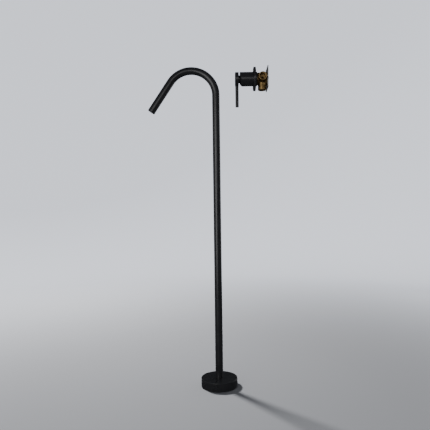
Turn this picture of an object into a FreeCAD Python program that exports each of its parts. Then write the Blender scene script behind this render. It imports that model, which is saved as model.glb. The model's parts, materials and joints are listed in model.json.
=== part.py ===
import FreeCAD, Part
import math
import os

from FreeCAD import Placement, Rotation, Vector

# Sizes are in millimetres and degrees. The origin is on the floor under the column. +Z is up,
# the spout reaches towards -X, and the wall that carries the control lies towards +X.

# Tube of the column and spout
tube_diameter = 25.4
tube_wall = 2.7
tube_edge = 0.4
bend_radius = 83.2
bend_angle = 146.2
bend_height = 977.8
outlet_length = 120.5

# Seam low on the column, and the spigot that joins the tubes there
seam_height = 176.0
seam_gap = 0.8
seam_inset = 0.6
spigot_wall = 3.4
spigot_reach = 62.0
spigot_edge = 1.0
grub_edge = 0.5
column_grub_diameter = 5.0
column_grub_key = 2.5
column_grub_socket = 1.6
column_grub_above_seam = 11.2
column_grub_sunk = 0.8
column_grub_turn = 25.0
column_grub_groove = 1.0
spigot_ring_count = 2
spigot_ring_above_grub = 15.0
spigot_ring_pitch = 11.0
spigot_ring_section = 1.8
spigot_ring_width = 2.2

# Base on the floor
base_diameter = 121.0
base_height = 28.5
base_wall = 2.5
base_top = 3.0
base_edge = 1.0
cover_collar_depth = 3.0
cover_collar_wall = 1.6
cover_ring_section = 2.0
cover_ring_width = 2.4
flange_thickness = 10.0
flange_edge = 1.0
flange_foot = 3.0
flange_boss_wall = 5.5
inlet_diameter = 19.0
inlet_depth = 12.0
inlet_web = 2.0
gasket_offset = 5.0
gasket_width = 4.0
gasket_thickness = 2.0
floor_bolt_circle = 86.0
floor_bolt_diameter = 7.0
floor_bolt_count = 4
floor_bolt_turn = 45.0

# Aerator in the outlet
outlet_recess = 0.8
bush_wall = 1.6
bush_lip = 2.0
bush_lip_width = 1.4
aerator_length = 10.4
aerator_wall = 1.2
aerator_lip = 1.2
aerator_lip_width = 0.8
aerator_washer_thickness = 1.4
grid_thickness = 3.0
grid_skirt = 3.0
grid_wall = 0.8
cell_rings = 2
cell_web = 0.4
jet_count = 10
jet_diameter = 1.4
jet_circle = 8.4

# Wall plate and sleeve of the control
wall_distance = 134.0
control_height = 1030.0
plate_diameter = 79.0
plate_thickness = 7.0
plate_front = 2.5
plate_rim = 4.0
plate_edge = 0.8
plate_hub_wall = 1.6
plate_ring_section = 1.6
plate_ring_width = 2.0
plate_seal_width = 4.0
sleeve_diameter = 47.0
sleeve_wall = 3.0
sleeve_projection = 52.5
sleeve_top_bevel = 0.8
sleeve_front_land = 0.6
sleeve_tail_gap = 3.0
sleeve_ring_count = 2
sleeve_ring_start = 8.0
sleeve_ring_pitch = 16.0
sleeve_ring_section = 1.5
sleeve_ring_width = 2.0

# Lever
hub_diameter = 47.0
hub_thickness = 11.8
hub_gap = 4.2
hub_edge = 0.8
neck_diameter = 25.0
neck_wall = 1.8
rod_diameter = 11.2
rod_reach = 93.6
rod_edge = 0.8
rod_stud_diameter = 6.0
rod_stud_length = 10.0
hub_grub_diameter = 5.0
hub_grub_length = 8.0
hub_grub_key = 2.5
hub_grub_socket = 2.5
hub_plug_thickness = 2.4
hub_plug_sunk = 0.6
stem_width = 7.0
stem_in_hub = 7.6
stem_shank_diameter = 4.8
stem_foot_rise = 3.5
ball_diameter = 6.0
ball_sunk = 1.6
pivot_depth = 12.0
pivot_pin_diameter = 4.0
pivot_pin_inset = 0.5
tilt_limit = 13.0
dome_radius = 17.6
dome_wall = 1.6
dome_reach_angle = 74.0
dome_collar_wall = 1.4

# Cartridge, stacked from the retaining nut back to the floor of its seat
cartridge_diameter = 35.0
nut_behind_pivot = 1.0
nut_thickness = 6.0
nut_thread_step = 1.1
nut_notch_count = 6
nut_notch_width = 4.0
nut_notch_depth = 2.5
housing_wall = 2.0
housing_top_wall = 3.2
housing_neck_wall = 2.4
housing_above_pivot = 3.0
carrier_above_pivot = 3.5
carrier_neck_diameter = 21.6
carrier_flange = 4.0
key_width = 2.0
key_spread = 7.2
key_height = 2.5
key_length = 11.0
holder_diameter = 20.4
holder_height = 6.0
moving_disc_diameter = 21.0
moving_disc_thickness = 4.0
fixed_disc_diameter = 29.6
fixed_disc_thickness = 4.0
base_plug_height = 5.0
base_plate_height = 2.0
lug_width = 3.0
lug_inset = 1.5
lug_height = 2.0
inlet_port_diameter = 4.8
inlet_port_drop = 3.5
inlet_port_spread = 6.4
outlet_port_diameter = 6.0
outlet_port_rise = 7.0
port_seal_wall = 1.4
port_seal_thickness = 1.5
chamber_diameter = 11.6
chamber_rise = 1.5
chamber_end_diameter = 6.0
chamber_end_rise = 5.5
chamber_depth = 2.0

# Valve body in the wall, and its bracket
ports_behind_wall = 22.0
port_boss_diameter = 28.0
port_reach = 38.0
port_diameter = 19.0
port_depth = 15.0
inlet_drill_diameter = 8.0
inlet_drill_start = 5.0
barrel_diameter = 42.0
barrel_back_wall = 2.0
collar_past_nut = 0.5
bracket_width = 72.0
bracket_thickness = 2.5
bracket_corner = 5.0
bracket_hole_spacing = 56.0
bracket_hole_diameter = 5.5
bracket_screw_diameter = 5.0
bracket_screw_spread = 13.0
bracket_screw_grip = 8.0
screw_head_diameter = 9.0
screw_head_height = 3.0

# Clearances
brazed_gap = 0.05
press_gap = 0.02
seal_gap = 0.05
slip_gap = 0.1
running_gap = 0.05
turning_gap = 0.3
sliding_gap = 0.5
socket_gap = 0.25
cover_gap = 0.4
flange_gap = 0.5
plate_gap = 0.3
sleeve_gap = 0.3
neck_gap = 0.6
dome_gap = 0.8

# Radii and heights of the floor unit that follow from the sizes above
tube_radius = tube_diameter / 2
bore_radius = tube_radius - tube_wall
spigot_radius = bore_radius - slip_gap
water_radius = spigot_radius - spigot_wall
base_radius = base_diameter / 2
base_inner_radius = base_radius - base_wall
boss_top = base_height - base_top - cover_collar_depth - flange_gap
seat_floor = inlet_depth + inlet_web
gasket_inner_radius = inlet_diameter / 2 + gasket_offset
gasket_outer_radius = gasket_inner_radius + gasket_width
cover_ring_inner = tube_radius + seal_gap
cover_ring_outer = cover_ring_inner + cover_ring_section
spout_foot = seam_height + seam_gap
column_grub_height = spout_foot + column_grub_above_seam
grub_groove_radius = spigot_radius - column_grub_groove
spigot_ring_outer = bore_radius - seal_gap
spigot_ring_inner = spigot_ring_outer - spigot_ring_section

# Radii and heights of the aerator, measured up the tube from its end
bush_inner_radius = bore_radius - brazed_gap - bush_wall
aerator_radius = bush_inner_radius - slip_gap
aerator_inner_radius = aerator_radius - aerator_wall
aerator_top = outlet_recess + aerator_length
bush_lip_floor = aerator_top + aerator_washer_thickness
grid_floor = outlet_recess + aerator_lip
grid_radius = aerator_inner_radius - slip_gap
diffuser_floor = grid_floor + grid_thickness + grid_skirt
grid_inner_radius = grid_radius - grid_wall
cell_pitch = (grid_inner_radius * math.sqrt(3) + cell_web) / (cell_rings * math.sqrt(3) + 1)

# Places along the control's axis, measured out from the wall
sleeve_radius = sleeve_diameter / 2
sleeve_inner_radius = sleeve_radius - sleeve_wall
sleeve_tail = port_boss_diameter / 2 + sleeve_tail_gap - ports_behind_wall
pivot_place = sleeve_projection - pivot_depth
nut_front = pivot_place - nut_behind_pivot
shoulder = nut_front - nut_thickness
housing_ceiling = shoulder - housing_top_wall
carrier_floor = housing_ceiling - turning_gap - carrier_flange
holder_top = carrier_floor - sliding_gap
holder_floor = holder_top - holder_height
moving_disc_floor = holder_floor - moving_disc_thickness
fixed_disc_floor = moving_disc_floor - fixed_disc_thickness
housing_floor = fixed_disc_floor - base_plug_height
cartridge_floor = housing_floor - base_plate_height
ball_place = holder_top - ball_sunk
hub_back = sleeve_projection + hub_gap
hub_front = hub_back + hub_thickness
hub_middle = hub_back + hub_thickness / 2
stem_end = hub_back + stem_in_hub
barrel_front = port_boss_diameter / 2 - ports_behind_wall
barrel_back = -ports_behind_wall - port_boss_diameter / 2 - barrel_back_wall

# Radii of the control that follow from the sizes above
plate_ring_inner = sleeve_radius + seal_gap
plate_ring_outer = plate_ring_inner + plate_ring_section
sleeve_ring_outer = sleeve_inner_radius - seal_gap
sleeve_ring_inner = sleeve_ring_outer - sleeve_ring_section
collar_radius = sleeve_inner_radius - sleeve_gap
cartridge_radius = cartridge_diameter / 2
seat_radius = cartridge_radius + slip_gap
nut_seat_radius = seat_radius + nut_thread_step
housing_inner_radius = cartridge_radius - housing_wall
carrier_neck_radius = carrier_neck_diameter / 2
housing_neck_bore = carrier_neck_radius + turning_gap
housing_neck_radius = housing_neck_bore + housing_neck_wall
hub_radius = hub_diameter / 2
neck_radius = neck_diameter / 2
neck_bore_radius = neck_radius - neck_wall
neck_back = pivot_place + math.sqrt(dome_radius ** 2 - neck_radius ** 2)
tilt = math.radians(tilt_limit)
opening_radius = neck_radius / math.cos(tilt) + pivot_depth * math.tan(tilt) + neck_gap

# Each unit is modelled along its own axis. In the control, local Z runs out from the wall and
# local X is up. In the outlet, local Z runs up the tube from its end.
outlet_turn = math.radians(bend_angle)
outlet_end = Vector(
    bend_radius * (math.cos(outlet_turn) - 1) - outlet_length * math.sin(outlet_turn),
    0,
    bend_height + bend_radius * math.sin(outlet_turn) + outlet_length * math.cos(outlet_turn),
)
up = Vector(0, 0, 1)
column_grub_direction = Rotation(up, -column_grub_turn).multVec(Vector(1, 0, 0))
column_frame = Placement()
outlet_frame = Placement(outlet_end, Rotation(Vector(0, 1, 0), 180 - bend_angle))
control_frame = Placement(Vector(wall_distance, 0, control_height), Rotation(Vector(0, 1, 0), -90))

# The two inlet ports and the outlet port of the cartridge, as place and radius across its axis
hot_port = (-inlet_port_drop, inlet_port_spread, inlet_port_diameter / 2)
cold_port = (-inlet_port_drop, -inlet_port_spread, inlet_port_diameter / 2)
mixed_port = (outlet_port_rise, 0, outlet_port_diameter / 2)
ports = [hot_port, cold_port, mixed_port]


def turned(outline):
    """Solid turned about local Z from a closed outline of (radius, height) corners."""
    corners = [Vector(radius, 0, height) for radius, height in outline]
    face = Part.Face(Part.makePolygon(corners + corners[:1]))
    return face.revolve(Vector(), up, 360)


def ring(outer, inner, low, high):
    return turned([(inner, low), (outer, low), (outer, high), (inner, high)])


def seal_ring(outer, inner, low, high):
    """Squeezed O-ring: flat where it is pressed, with its corners cut back by a quarter."""
    cut = min(outer - inner, high - low) / 4
    return turned(
        [
            (inner, low + cut),
            (inner + cut, low),
            (outer - cut, low),
            (outer, low + cut),
            (outer, high - cut),
            (outer - cut, high),
            (inner + cut, high),
            (inner, high - cut),
        ]
    )


def bar(radius, low, high, x=0, y=0):
    return Part.makeCylinder(radius, high - low, Vector(x, y, low))


def block(x_size, y_size, low, high, x=0, y=0):
    return Part.makeBox(x_size, y_size, high - low, Vector(x - x_size / 2, y - y_size / 2, low))


def hexagon(across_flats, low, high, x=0, y=0):
    corner = across_flats / math.sqrt(3)
    angles = [math.radians(60 * step) for step in range(7)]
    points = [Vector(x + corner * math.cos(a), y + corner * math.sin(a), low) for a in angles]
    return Part.Face(Part.makePolygon(points)).extrude(Vector(0, 0, high - low))


def aimed(shape, start, direction):
    """Turn a shape made along local Z to point in a direction from a start point."""
    shape.Placement = Placement(start, Rotation(up, direction))
    return shape


def around(count, offset=0):
    """Even angles round a circle, in radians."""
    return [math.radians(offset + 360 * step / count) for step in range(count)]


def floor_flange():
    rim = base_inner_radius - flange_gap
    boss = tube_radius + flange_boss_wall
    seat = tube_radius + brazed_gap
    inlet = inlet_diameter / 2
    flange = turned(
        [
            (inlet, 0),
            (rim, 0),
            (rim, flange_thickness - flange_edge),
            (rim - flange_edge, flange_thickness),
            (boss + flange_foot, flange_thickness),
            (boss, flange_thickness + flange_foot),
            (boss, boss_top),
            (seat, boss_top),
            (seat, seat_floor),
            (water_radius, seat_floor),
            (water_radius, inlet_depth),
            (inlet, inlet_depth),
        ]
    )
    groove = ring(gasket_outer_radius + slip_gap, gasket_inner_radius - slip_gap, 0, gasket_thickness)
    holes = [
        bar(
            floor_bolt_diameter / 2,
            0,
            flange_thickness,
            floor_bolt_circle / 2 * math.cos(angle),
            floor_bolt_circle / 2 * math.sin(angle),
        )
        for angle in around(floor_bolt_count, floor_bolt_turn)
    ]
    return flange.cut([groove] + holes)


def floor_gasket():
    return ring(gasket_outer_radius, gasket_inner_radius, 0, gasket_thickness)


def cover_ring_span():
    middle = base_height - (base_top + cover_collar_depth) / 2
    return middle - cover_ring_width / 2, middle + cover_ring_width / 2


def base_cover():
    hole = tube_radius + cover_gap
    groove = cover_ring_outer + seal_gap
    collar = groove + cover_collar_wall
    ceiling = base_height - base_top
    low, high = cover_ring_span()
    return turned(
        [
            (base_inner_radius, 0),
            (base_radius, 0),
            (base_radius, base_height - base_edge),
            (base_radius - base_edge, base_height),
            (hole, base_height),
            (hole, high + slip_gap),
            (groove, high + slip_gap),
            (groove, low - slip_gap),
            (hole, low - slip_gap),
            (hole, ceiling - cover_collar_depth),
            (collar, ceiling - cover_collar_depth),
            (collar, ceiling),
            (base_inner_radius, ceiling),
        ]
    )


def cover_o_ring():
    low, high = cover_ring_span()
    return seal_ring(cover_ring_outer, cover_ring_inner, low, high)


def tube_end(foot, top):
    """Straight tube with a small bevel round its outer edge at the foot."""
    return turned(
        [
            (bore_radius, foot),
            (tube_radius - tube_edge, foot),
            (tube_radius, foot + tube_edge),
            (tube_radius, top),
            (bore_radius, top),
        ]
    )


def lower_column():
    tube = tube_end(0, seam_height - seat_floor)
    return aimed(tube, Vector(0, 0, seam_height), Vector(0, 0, -1))


def seam_washer():
    return ring(tube_radius - seam_inset, spigot_radius + slip_gap, seam_height, spout_foot)


def spigot_ring_floors():
    first = column_grub_height + spigot_ring_above_grub
    return [first + spigot_ring_pitch * step for step in range(spigot_ring_count)]


def column_spigot():
    top = spout_foot + spigot_reach
    spigot = turned(
        [
            (water_radius, seat_floor),
            (spigot_radius, seat_floor),
            (spigot_radius, top - spigot_edge),
            (spigot_radius - spigot_edge, top),
            (water_radius, top),
        ]
    )
    grub = column_grub_diameter / 2 + slip_gap
    cuts = [ring(bore_radius, grub_groove_radius, column_grub_height - grub, column_grub_height + grub)]
    for floor in spigot_ring_floors():
        low = floor - slip_gap
        high = floor + spigot_ring_width + slip_gap
        cuts.append(ring(bore_radius, spigot_ring_inner - seal_gap, low, high))
    return spigot.cut(cuts)


def spigot_o_rings():
    rings = [
        seal_ring(spigot_ring_outer, spigot_ring_inner, floor, floor + spigot_ring_width)
        for floor in spigot_ring_floors()
    ]
    return Part.Compound(rings)


def tube_bend(radius):
    """Solid round bar bent from the top of the column to the start of the outlet."""
    circle = Part.makeCircle(radius, Vector(0, 0, bend_height), up)
    disc = Part.Face(Part.Wire(circle))
    return disc.revolve(Vector(-bend_radius, 0, bend_height), Vector(0, -1, 0), bend_angle)


def spout_column():
    riser = tube_end(spout_foot, bend_height)
    bend = tube_bend(tube_radius).cut(tube_bend(bore_radius))
    outlet = tube_end(0, outlet_length)
    outlet.Placement = outlet_frame
    spout = riser.fuse([bend, outlet]).removeSplitter()
    hole = column_grub_diameter / 2 + slip_gap
    screw_end = tube_radius - column_grub_sunk
    flare = Part.makeCone(hole, hole + column_grub_sunk, column_grub_sunk, Vector(0, 0, screw_end))
    grub_hole = bar(hole, 0, tube_diameter).fuse(flare)
    return spout.cut(aimed(grub_hole, Vector(0, 0, column_grub_height), column_grub_direction))


def grub_screw(diameter, length, key, socket):
    """Headless screw along local Z with its hexagon socket at the top."""
    radius = diameter / 2
    screw = turned(
        [
            (0, 0),
            (radius - grub_edge, 0),
            (radius, grub_edge),
            (radius, length - grub_edge),
            (radius - grub_edge, length),
            (0, length),
        ]
    )
    return screw.cut(hexagon(key, length - socket, length))


def column_grub_screw():
    tip = grub_groove_radius + seal_gap
    length = tube_radius - column_grub_sunk - tip
    screw = grub_screw(column_grub_diameter, length, column_grub_key, column_grub_socket)
    return aimed(screw, column_grub_direction * tip + up * column_grub_height, column_grub_direction)


def outlet_bush():
    outer = bore_radius - brazed_gap
    lip = bush_inner_radius - bush_lip_width
    top = bush_lip_floor + bush_lip
    return turned(
        [
            (bush_inner_radius, outlet_recess),
            (outer, outlet_recess),
            (outer, top),
            (lip, top),
            (lip, bush_lip_floor),
            (bush_inner_radius, bush_lip_floor),
        ]
    )


def aerator_housing():
    lip = aerator_inner_radius - aerator_lip_width
    return turned(
        [
            (lip, outlet_recess),
            (aerator_radius, outlet_recess),
            (aerator_radius, aerator_top),
            (aerator_inner_radius, aerator_top),
            (aerator_inner_radius, grid_floor),
            (lip, grid_floor),
        ]
    )


def cell_centres():
    """Honeycomb places, in rings round the middle cell."""
    centres = []
    for row in range(-cell_rings, cell_rings + 1):
        for column in range(-cell_rings, cell_rings + 1):
            if abs(row + column) <= cell_rings:
                x = cell_pitch * math.sqrt(3) / 2 * row
                y = cell_pitch * (column + row / 2)
                centres.append((x, y))
    return centres


def aerator_grid():
    plate_top = grid_floor + grid_thickness
    cell_width = cell_pitch - cell_web
    grid = turned(
        [
            (0, grid_floor),
            (grid_radius, grid_floor),
            (grid_radius, diffuser_floor),
            (grid_inner_radius, diffuser_floor),
            (grid_inner_radius, plate_top),
            (0, plate_top),
        ]
    )
    cells = [hexagon(cell_width, grid_floor, plate_top, x, y) for x, y in cell_centres()]
    return grid.cut(cells)


def aerator_diffuser():
    plate = bar(grid_radius, diffuser_floor, aerator_top)
    jets = [
        bar(
            jet_diameter / 2,
            diffuser_floor,
            aerator_top,
            jet_circle / 2 * math.cos(angle),
            jet_circle / 2 * math.sin(angle),
        )
        for angle in around(jet_count)
    ]
    return plate.cut(jets)


def aerator_washer():
    inner = bush_inner_radius - bush_lip_width
    return ring(aerator_radius, inner, aerator_top, bush_lip_floor)


def wall_plate():
    radius = plate_diameter / 2
    hole = sleeve_radius + plate_gap
    groove = plate_ring_outer + seal_gap
    hub = groove + plate_hub_wall
    recess = plate_thickness - plate_front
    low, high = plate_ring_span()
    return turned(
        [
            (hole, 0),
            (hub, 0),
            (hub, recess),
            (radius - plate_rim, recess),
            (radius - plate_rim, 0),
            (radius, 0),
            (radius, plate_thickness - plate_edge),
            (radius - plate_edge, plate_thickness),
            (hole, plate_thickness),
            (hole, high + slip_gap),
            (groove, high + slip_gap),
            (groove, low - slip_gap),
            (hole, low - slip_gap),
        ]
    )


def plate_ring_span():
    middle = plate_thickness / 2
    return middle - plate_ring_width / 2, middle + plate_ring_width / 2


def plate_o_ring():
    low, high = plate_ring_span()
    return seal_ring(plate_ring_outer, plate_ring_inner, low, high)


def plate_seal():
    outer = plate_diameter / 2 - plate_rim - slip_gap
    return ring(outer, outer - plate_seal_width, 0, plate_thickness - plate_front)


def sleeve():
    """Tube over the cartridge. Its front edge has a bevel that widens downwards, clear of the lever."""
    nose = pivot_place + (dome_radius + dome_gap) * math.sqrt(2)
    tube = turned(
        [
            (sleeve_inner_radius, sleeve_tail),
            (sleeve_radius, sleeve_tail),
            (sleeve_radius, sleeve_projection),
            (opening_radius, sleeve_projection),
            (opening_radius, nose - opening_radius),
            (sleeve_inner_radius, nose - sleeve_inner_radius),
        ]
    )
    land_top = sleeve_radius - sleeve_top_bevel
    land_foot = opening_radius + sleeve_front_land
    land_radius = (land_top + land_foot) / 2
    rise = (land_top - land_foot) / 2
    depth = sleeve_radius + rise - land_radius + sleeve_wall
    start = sleeve_projection - depth
    kept = Part.makeCone(land_radius + depth, land_radius, depth, Vector(rise, 0, start))
    bevel = bar(sleeve_diameter, start, sleeve_projection).cut(kept)
    return tube.cut(bevel)


def sleeve_ring_floors():
    return [sleeve_ring_start + sleeve_ring_pitch * step for step in range(sleeve_ring_count)]


def sleeve_o_rings():
    rings = [
        seal_ring(sleeve_ring_outer, sleeve_ring_inner, floor, floor + sleeve_ring_width)
        for floor in sleeve_ring_floors()
    ]
    return Part.Compound(rings)


def screw_places():
    return [(0, bracket_screw_spread), (0, -bracket_screw_spread)]


def port_directions():
    hot = Vector(0, 1, 0)
    cold = Vector(0, -1, 0)
    mixed = Vector(-1, 0, 0)
    return [hot, cold, mixed]


def valve_body():
    front = nut_front + collar_past_nut
    body = turned(
        [
            (0, barrel_back),
            (barrel_diameter / 2, barrel_back),
            (barrel_diameter / 2, barrel_front),
            (collar_radius, barrel_front),
            (collar_radius, front),
            (nut_seat_radius, front),
            (nut_seat_radius, shoulder),
            (seat_radius, shoulder),
            (seat_radius, cartridge_floor),
            (0, cartridge_floor),
        ]
    )
    crossing = Vector(0, 0, -ports_behind_wall)
    bosses = []
    cuts = []
    for direction in port_directions():
        bosses.append(aimed(bar(port_boss_diameter / 2, 0, port_reach), crossing, direction))
        cuts.append(aimed(bar(port_diameter / 2, port_reach - port_depth, port_reach), crossing, direction))
    for x, y, radius in ports:
        cuts.append(bar(radius, -ports_behind_wall, cartridge_floor, x, y))
    cuts += cross_drills()
    for floor in sleeve_ring_floors():
        low = floor - slip_gap
        high = floor + sleeve_ring_width + slip_gap
        cuts.append(ring(sleeve_radius, sleeve_ring_inner - seal_gap, low, high))
    for x, y in screw_places():
        hole = bracket_screw_diameter / 2 + slip_gap
        cuts.append(bar(hole, barrel_back, barrel_back + bracket_screw_grip + slip_gap, x, y))
    return body.fuse(bosses).cut(cuts).removeSplitter()


def cross_drills():
    """Drillings from the three threaded ports to the passages that lead to the cartridge."""
    reach = port_reach - port_depth
    inlet_level = Vector(-inlet_port_drop, 0, -ports_behind_wall)
    hot, cold, mixed = port_directions()
    inlets = [
        aimed(bar(inlet_drill_diameter / 2, inlet_drill_start, reach), inlet_level, side)
        for side in (hot, cold)
    ]
    top = outlet_port_rise + outlet_port_diameter / 2
    outlet = bar(outlet_port_diameter / 2, -top, reach)
    return inlets + [aimed(outlet, Vector(0, 0, -ports_behind_wall), mixed)]


def wall_bracket():
    plate = block(bracket_width, bracket_width, barrel_back - bracket_thickness, barrel_back)
    upright = [edge for edge in plate.Edges if edge.BoundBox.ZLength > bracket_thickness / 2]
    plate = plate.makeFillet(bracket_corner, upright)
    half = bracket_hole_spacing / 2
    radius = bracket_hole_diameter / 2
    places = [(x, y) for x in (-half, half) for y in (-half, half)]
    holes = [
        bar(radius, barrel_back - bracket_thickness, barrel_back, x, y)
        for x, y in places + screw_places()
    ]
    return plate.cut(holes)


def bracket_screws():
    screws = []
    seat = barrel_back - bracket_thickness
    for x, y in screw_places():
        head = bar(screw_head_diameter / 2, seat - screw_head_height, seat, x, y)
        shank = bar(bracket_screw_diameter / 2, seat, barrel_back + bracket_screw_grip, x, y)
        screws.append(head.fuse(shank).removeSplitter().Solids[0])
    return Part.Compound(screws)


def side_lugs(radius, low, high, gap=0):
    """Two small keys on a rim, left and right. With a gap they are the notches that take them."""
    rim = bar(radius, low, high)
    width = lug_width + 2 * gap
    inset = lug_inset + gap
    place = radius - inset / 2
    return [rim.common(block(width, inset, low, high, 0, side * place)) for side in (-1, 1)]


def cartridge_base():
    base = turned(
        [
            (0, cartridge_floor),
            (cartridge_radius, cartridge_floor),
            (cartridge_radius, housing_floor),
            (housing_inner_radius - slip_gap, housing_floor),
            (housing_inner_radius - slip_gap, fixed_disc_floor),
            (0, fixed_disc_floor),
        ]
    )
    base = base.fuse(side_lugs(fixed_disc_diameter / 2, fixed_disc_floor, fixed_disc_floor + lug_height))
    cuts = []
    for x, y, radius in ports:
        recess = radius + port_seal_wall + slip_gap
        cuts.append(bar(radius, cartridge_floor, fixed_disc_floor, x, y))
        cuts.append(bar(recess, cartridge_floor, cartridge_floor + port_seal_thickness, x, y))
    return base.cut(cuts).removeSplitter()


def cartridge_seals():
    seals = []
    for x, y, radius in ports:
        seal = ring(radius + port_seal_wall, radius, cartridge_floor, cartridge_floor + port_seal_thickness)
        seals.append(aimed(seal, Vector(x, y, 0), up))
    return Part.Compound(seals)


def cartridge_housing():
    top = pivot_place + housing_above_pivot
    return turned(
        [
            (housing_inner_radius, housing_floor),
            (cartridge_radius, housing_floor),
            (cartridge_radius, shoulder),
            (housing_neck_radius, shoulder),
            (housing_neck_radius, top),
            (housing_neck_bore, top),
            (housing_neck_bore, housing_ceiling),
            (housing_inner_radius, housing_ceiling),
        ]
    )


def fixed_ceramic_disc():
    radius = fixed_disc_diameter / 2
    disc = bar(radius, fixed_disc_floor, moving_disc_floor)
    cuts = [bar(size, fixed_disc_floor, moving_disc_floor, x, y) for x, y, size in ports]
    notch_top = fixed_disc_floor + lug_height + slip_gap
    return disc.cut(cuts + side_lugs(radius, fixed_disc_floor, notch_top, slip_gap))


def moving_ceramic_disc():
    """Disc with the mixing chamber in its sliding face and two notches for its holder."""
    radius = moving_disc_diameter / 2
    disc = bar(radius, moving_disc_floor, holder_floor)
    roof = moving_disc_floor + chamber_depth
    chamber = bar(chamber_diameter / 2, moving_disc_floor, roof, chamber_rise)
    chamber_end = bar(chamber_end_diameter / 2, moving_disc_floor, roof, chamber_end_rise)
    notch_floor = holder_floor - lug_height - slip_gap
    return disc.cut([chamber, chamber_end] + side_lugs(radius, notch_floor, holder_floor, slip_gap))


def key_places():
    return [key_spread, -key_spread]


def disc_holder():
    """Drives the moving disc. The stem's ball sits in its socket, and the carrier's keys in its slots."""
    radius = holder_diameter / 2
    holder = bar(radius, holder_floor, holder_top)
    lugs = side_lugs(moving_disc_diameter / 2, holder_floor - lug_height, holder_floor)
    socket = ball_diameter / 2 + socket_gap
    cuts = [bar(socket, ball_place - socket, holder_top)]
    slot_floor = holder_top - key_height - turning_gap
    for y in key_places():
        cuts.append(block(holder_diameter, key_width + 2 * turning_gap, slot_floor, holder_top, 0, y))
    return holder.fuse(lugs).cut(cuts).removeSplitter()


def stem_slot_length():
    """Slot that lets the stem tilt, at the carrier's foot where it swings furthest."""
    swing = (pivot_place - carrier_floor) * math.tan(tilt)
    return 2 * (swing + stem_width / 2 / math.cos(tilt) + turning_gap)


def temperature_carrier():
    top = pivot_place + carrier_above_pivot
    flange = housing_inner_radius - turning_gap
    body = turned(
        [
            (0, carrier_floor),
            (flange, carrier_floor),
            (flange, carrier_floor + carrier_flange),
            (carrier_neck_radius, carrier_floor + carrier_flange),
            (carrier_neck_radius, top),
            (0, top),
        ]
    )
    key_foot = carrier_floor - sliding_gap - key_height
    keys = [block(key_length, key_width, key_foot, carrier_floor, 0, y) for y in key_places()]
    slot = block(stem_slot_length(), stem_width + 2 * turning_gap, carrier_floor, top)
    pin_hole = pin_bar(pivot_pin_diameter / 2 + press_gap, carrier_neck_diameter)
    return body.fuse(keys).cut([slot, pin_hole]).removeSplitter()


def pin_bar(radius, length):
    """Round bar across the stem at the pivot."""
    pin = bar(radius, -length / 2, length / 2)
    return aimed(pin, Vector(0, 0, pivot_place), Vector(0, 1, 0))


def pivot_pin():
    return pin_bar(pivot_pin_diameter / 2, carrier_neck_diameter - 2 * pivot_pin_inset)


def lever_stem():
    shoulder_place = carrier_floor + stem_foot_rise
    square = block(stem_width, stem_width, shoulder_place, stem_end)
    shank = bar(stem_shank_diameter / 2, ball_place, shoulder_place)
    ball = Part.makeSphere(ball_diameter / 2, Vector(0, 0, ball_place))
    stem = square.fuse([shank, ball]).removeSplitter()
    return stem.cut(pin_bar(pivot_pin_diameter / 2 + running_gap, stem_width))


def retaining_nut():
    outer = nut_seat_radius - slip_gap
    nut = ring(outer, housing_neck_radius + turning_gap, shoulder, nut_front)
    notches = []
    for angle in around(nut_notch_count):
        notch = block(2 * outer, nut_notch_width, nut_front - nut_notch_depth, nut_front, outer)
        notch.rotate(Vector(), up, math.degrees(angle))
        notches.append(notch.cut(bar((outer + housing_neck_radius) / 2, shoulder, nut_front)))
    return nut.cut(notches)


def dome_cap():
    """Part of a ball about the pivot that keeps the sleeve's opening closed as the lever tilts."""
    inner_radius = dome_radius - dome_wall
    collar = neck_bore_radius - slip_gap
    collar_bore = collar - dome_collar_wall
    collar_top = hub_back - slip_gap
    collar_foot = pivot_place + math.sqrt(inner_radius ** 2 - collar_bore ** 2)

    def on_ball(radius, angle):
        return Vector(radius * math.sin(angle), 0, pivot_place + radius * math.cos(angle))

    skirt_angle = math.radians(dome_reach_angle)
    start_angle = math.asin(neck_radius / dome_radius)
    bore_angle = math.asin(collar_bore / inner_radius)
    start = Vector(neck_radius, 0, neck_back)
    skirt = on_ball(dome_radius, skirt_angle)
    inner_skirt = on_ball(inner_radius, skirt_angle)
    bore_foot = Vector(collar_bore, 0, collar_foot)
    outer_arc = Part.Arc(start, on_ball(dome_radius, (start_angle + skirt_angle) / 2), skirt)
    inner_arc = Part.Arc(inner_skirt, on_ball(inner_radius, (bore_angle + skirt_angle) / 2), bore_foot)
    corners = [
        bore_foot,
        Vector(collar_bore, 0, collar_top),
        Vector(collar, 0, collar_top),
        Vector(collar, 0, neck_back),
        start,
    ]
    edges = [outer_arc.toShape(), Part.makeLine(skirt, inner_skirt), inner_arc.toShape()]
    edges += [Part.makeLine(a, b) for a, b in zip(corners, corners[1:])]
    return Part.Face(Part.Wire(edges)).revolve(Vector(), up, 360)


def handle_hub():
    hub = turned(
        [
            (0, hub_back),
            (neck_bore_radius, hub_back),
            (neck_bore_radius, neck_back),
            (neck_radius, neck_back),
            (neck_radius, hub_back),
            (hub_radius - hub_edge, hub_back),
            (hub_radius, hub_back + hub_edge),
            (hub_radius, hub_front - hub_edge),
            (hub_radius - hub_edge, hub_front),
            (0, hub_front),
        ]
    )
    width = stem_width + 2 * slip_gap
    socket = block(width, width, hub_back, stem_end + slip_gap)
    middle = Vector(0, 0, hub_middle)
    grub_hole = aimed(bar(hub_grub_diameter / 2 + slip_gap, 0, hub_radius), middle, Vector(0, 1, 0))
    stud_floor = hub_radius - rod_stud_length
    stud_hole = bar(rod_stud_diameter / 2 + slip_gap, stud_floor - slip_gap, hub_radius)
    return hub.cut([socket, grub_hole, aimed(stud_hole, middle, Vector(-1, 0, 0))])


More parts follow.
